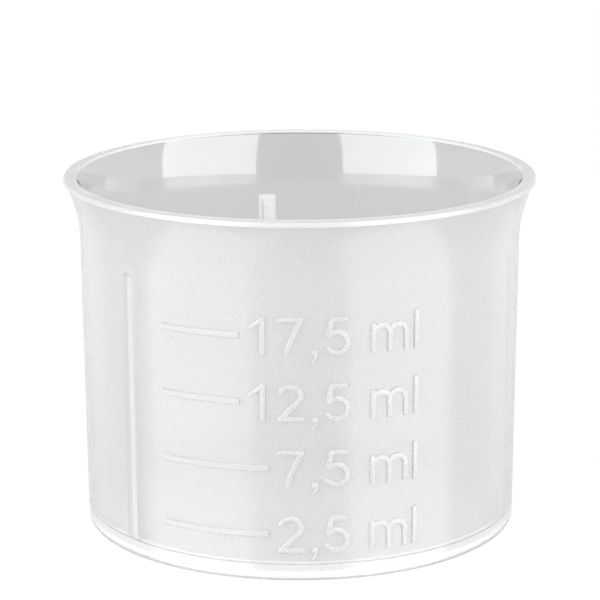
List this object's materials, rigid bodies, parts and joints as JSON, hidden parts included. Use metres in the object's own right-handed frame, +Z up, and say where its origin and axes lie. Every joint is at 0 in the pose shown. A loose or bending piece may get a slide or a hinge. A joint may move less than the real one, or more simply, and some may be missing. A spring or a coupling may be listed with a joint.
{
  "type": "medicine cup",
  "caption": "Small milky plastic dosing cup with a flared mouth, a rounded rim lip, raised volume graduations and slim ribs inside its wall.",
  "frame": {"origin": "centre of the foot, on the surface that the cup stands on", "axes": "+Z up along the cup's axis, -Y through the middle of the graduated panel"},
  "size_m": [0.0392, 0.0392, 0.0295],
  "materials": {
    "natural_plastic": "uncoloured polypropylene as moulded, milky and see-through, with a soft gloss"
  },
  "bodies": {
    "root": {"medicine_cup": "natural_plastic"}
  },
  "joints": []
}
